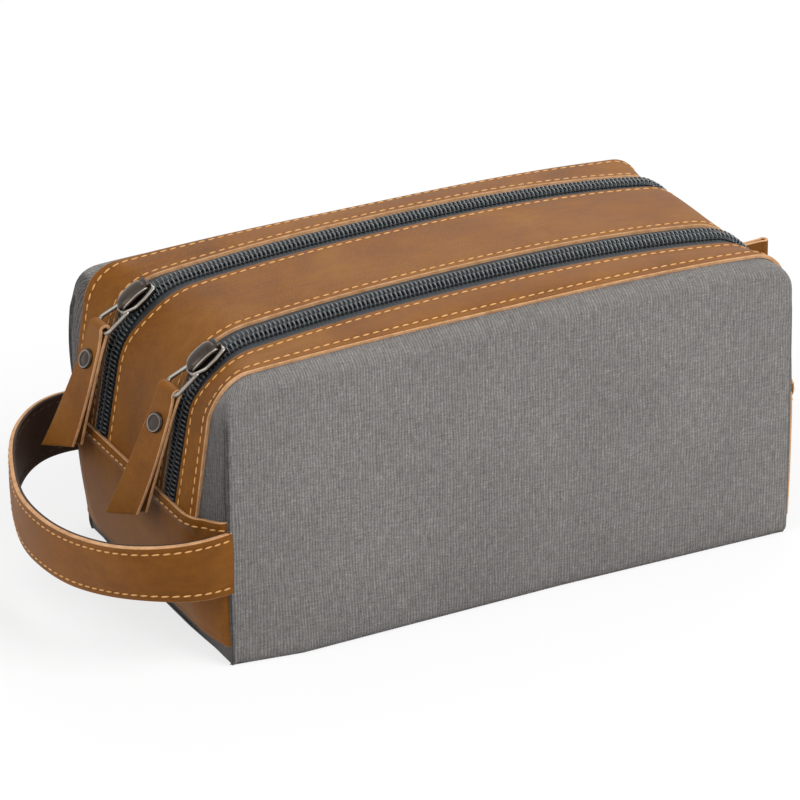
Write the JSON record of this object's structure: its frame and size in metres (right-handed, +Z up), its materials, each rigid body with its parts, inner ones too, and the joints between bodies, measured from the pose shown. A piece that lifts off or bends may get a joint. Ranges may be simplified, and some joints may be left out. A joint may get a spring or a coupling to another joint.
{
  "type": "toiletry bag",
  "caption": "Boxy canvas toiletry bag with leather trim, twin zips over a domed top into separate compartments, flared leather zip pulls and a wide side handle.",
  "frame": {"origin": "middle of the base, on the surface that the bag stands on", "axes": "+X towards the end with the small tab, away from the handle; +Y to the rear; +Z up"},
  "size_m": [0.3365, 0.1528, 0.1318],
  "materials": {
    "trim_leather": "waxed brown leather with golden stitching",
    "backing_leather": "dark brown, matt",
    "canvas": "grey heathered canvas with a fine upright rib",
    "zip_tape": "dark slate woven tape",
    "zip_coil": "dark slate nylon coil",
    "dark_metal": "polished gunmetal plating",
    "board": "black stiffener board",
    "foam": "grey foam interlining",
    "lining": "dark woven lining"
  },
  "bodies": {
    "bag": {"centre_leather_panel": "trim_leather", "front_leather_strip": "trim_leather", "rear_leather_strip": "trim_leather", "left_end_panel": "trim_leather", "right_end_panel": "trim_leather", "front_canvas_panel": "canvas", "rear_canvas_panel": "canvas", "base_canvas_panel": "canvas", "front_zip_outer_tape": "zip_tape", "front_zip_inner_tape": "zip_tape", "rear_zip_outer_tape": "zip_tape", "rear_zip_inner_tape": "zip_tape", "front_zip_outer_coil": "zip_coil", "front_zip_inner_coil": "zip_coil", "rear_zip_outer_coil": "zip_coil", "rear_zip_inner_coil": "zip_coil", "base_board": "board", "front_foam_pad": "foam", "rear_foam_pad": "foam", "compartment_divider": "lining", "front_lining": "lining", "rear_lining": "lining", "end_tab": "trim_leather"},
    "handle": {"handle_face": "trim_leather", "handle_backing": "backing_leather"},
    "front_slider": {"front_zip_slider": "dark_metal"},
    "front_ring": {"front_zip_ring": "dark_metal"},
    "front_pull": {"front_zip_pull": "trim_leather", "front_rivet_cap": "dark_metal", "front_rivet_base": "dark_metal"},
    "rear_slider": {"rear_zip_slider": "dark_metal"},
    "rear_ring": {"rear_zip_ring": "dark_metal"},
    "rear_pull": {"rear_zip_pull": "trim_leather", "rear_rivet_cap": "dark_metal", "rear_rivet_base": "dark_metal"}
  },
  "joints": [
    {"name": "handle_lift", "type": "hinge", "parent": "bag", "child": "handle", "pos_m": [-0.13, 0, 0.047], "axis": [0, 1, 0], "range_deg": [-30, 40]},
    {"name": "front_slider_run", "type": "hinge", "parent": "bag", "child": "front_slider", "pos_m": [-0.09174, -0.03425, 0.08218], "axis": [0, 1, 0], "range_deg": [0, 32]},
    {"name": "front_ring_swing", "type": "hinge", "parent": "front_slider", "child": "front_ring", "pos_m": [-0.1264, -0.03425, 0.11684], "axis": [0.1604, 0.9781, 0.1322], "range_deg": [0, 95]},
    {"name": "front_pull_swing", "type": "hinge", "parent": "front_ring", "child": "front_pull", "pos_m": [-0.13636, -0.03151, 0.10863], "axis": [0.1604, 0.9781, 0.1322], "range_deg": [-2, 75]},
    {"name": "rear_slider_run", "type": "hinge", "parent": "bag", "child": "rear_slider", "pos_m": [-0.09174, 0.03425, 0.08218], "axis": [0, 1, 0], "range_deg": [0, 32]},
    {"name": "rear_ring_swing", "type": "hinge", "parent": "rear_slider", "child": "rear_ring", "pos_m": [-0.1264, 0.03425, 0.11684], "axis": [0.1604, 0.9781, 0.1322], "range_deg": [0, 95]},
    {"name": "rear_pull_swing", "type": "hinge", "parent": "rear_ring", "child": "rear_pull", "pos_m": [-0.13636, 0.03699, 0.10863], "axis": [0.1604, 0.9781, 0.1322], "range_deg": [-2, 75]}
  ]
}
